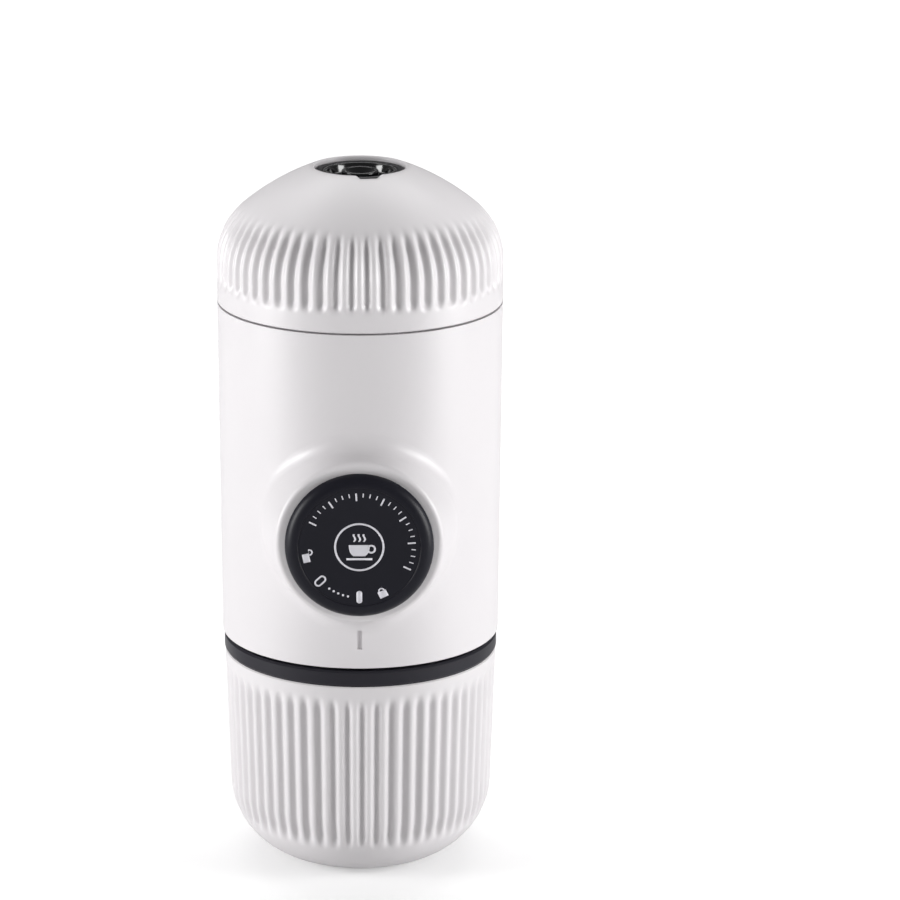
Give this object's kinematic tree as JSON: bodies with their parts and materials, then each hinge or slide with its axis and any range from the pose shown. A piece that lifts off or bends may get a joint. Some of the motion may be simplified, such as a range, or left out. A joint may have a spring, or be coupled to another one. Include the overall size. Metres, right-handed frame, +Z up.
{
  "type": "handheld manual espresso maker",
  "caption": "Handheld manual espresso maker: ribbed outlet cover, pump body with a round turn-and-push knob, water tank with black collar, and ribbed cup as its base.",
  "frame": {"origin": "centre of the cup's flat base", "axes": "+Z up through the outlet, knob faces -Y, relief valve along +X"},
  "size_m": [0.062, 0.071, 0.156],
  "materials": {
    "white_shell": "satin moulded plastic",
    "black_moulding": "fine moulded texture",
    "black_gloss": "gloss",
    "collar": "satin",
    "knob": "satin",
    "knob_face": "satin with light print",
    "pump_grey": "glass-filled nylon",
    "seal": "matt",
    "silicone": "translucent silicone",
    "steel": "stainless",
    "screw_steel": "plated",
    "spring_steel": "drawn wire",
    "smoke_tank": "clear smoked copolyester"
  },
  "bodies": {
    "main_body": {"body_shell": "white_shell", "brew_head": "black_moulding", "shower_screen": "steel", "shower_screw": "steel", "head_screws": "screw_steel", "knob_guide": "black_moulding", "pump_body": "pump_grey", "pump_screws": "screw_steel", "inlet_fitting": "pump_grey", "outlet_fitting": "pump_grey", "riser_tube": "steel", "riser_seals": "seal", "relief_cap": "pump_grey", "tank_socket": "black_moulding", "socket_screws": "screw_steel", "intake_screen": "steel", "return_spring": "spring_steel", "inlet_spring": "spring_steel", "outlet_spring": "spring_steel", "relief_spring": "spring_steel"},
    "basket_group": {"filter_basket": "steel", "brew_gasket": "seal"},
    "holder": {"filter_holder": "black_moulding", "spout_nozzle": "black_gloss"},
    "outlet_cover": {"outlet_shell": "white_shell"},
    "piston": {"piston_rod": "pump_grey", "piston_seal": "seal"},
    "knob": {"knob_cap": "knob", "knob_face": "knob_face", "plunger_sleeve": "black_moulding"},
    "inlet_valve": {"inlet_ball": "steel"},
    "outlet_valve": {"outlet_ball": "steel"},
    "relief_valve": {"relief_poppet": "pump_grey"},
    "tank_ring": {"tank_gasket": "seal"},
    "tank": {"water_tank": "smoke_tank", "tank_collar": "collar", "cup_seal": "seal", "tank_air_valve": "silicone"},
    "cup": {"portable_cup": "white_shell"}
  },
  "joints": [
    {"name": "pump_stroke", "type": "slide", "parent": "main_body", "child": "piston", "axis": [0, -1, 0], "range_m": [0, 0.022], "deforming": ["return_spring"]},
    {"name": "knob_turn", "type": "hinge", "parent": "piston", "child": "knob", "pos_m": [0, -0.0338, 0.0824], "axis": [0, -1, 0], "range_deg": [0, 48]},
    {"name": "holder_lift", "type": "slide", "parent": "main_body", "child": "basket_group", "axis": [0, 0, 1], "range_m": [0, 0.0091]},
    {"name": "holder_unscrew", "type": "hinge", "parent": "basket_group", "child": "holder", "pos_m": [0, 0, 0.1262], "axis": [0, 0, 1], "range_deg": [0, 360]},
    {"name": "cover_pull", "type": "slide", "parent": "holder", "child": "outlet_cover", "axis": [0, 0, 1], "range_m": [0, 0.03]},
    {"name": "tank_drop", "type": "slide", "parent": "main_body", "child": "tank_ring", "axis": [0, 0, -1], "range_m": [0, 0.0091]},
    {"name": "tank_unscrew", "type": "hinge", "parent": "tank_ring", "child": "tank", "pos_m": [0, 0, 0.0522], "axis": [0, 0, -1], "range_deg": [0, 360]},
    {"name": "cup_pull", "type": "slide", "parent": "tank", "child": "cup", "axis": [0, 0, -1], "range_m": [0, 0.045]},
    {"name": "inlet_ball_lift", "type": "slide", "parent": "main_body", "child": "inlet_valve", "axis": [0, 0, 1], "range_m": [0, 0.0012], "stiffness_N_per_m": 40, "springref_m": -0.001, "deforming": ["inlet_spring"]},
    {"name": "outlet_ball_lift", "type": "slide", "parent": "main_body", "child": "outlet_valve", "axis": [0, 0, 1], "range_m": [0, 0.0012], "stiffness_N_per_m": 40, "springref_m": -0.001, "deforming": ["outlet_spring"]},
    {"name": "relief_lift", "type": "slide", "parent": "main_body", "child": "relief_valve", "axis": [1, 0, 0], "range_m": [0, 0.001], "stiffness_N_per_m": 200, "springref_m": -0.001, "deforming": ["relief_spring"]}
  ],
  "couplings": [
    {"joint": "holder_lift", "follows": "holder_unscrew", "m_per_rad": 0.0014324},
    {"joint": "tank_drop", "follows": "tank_unscrew", "m_per_rad": 0.0014324}
  ]
}
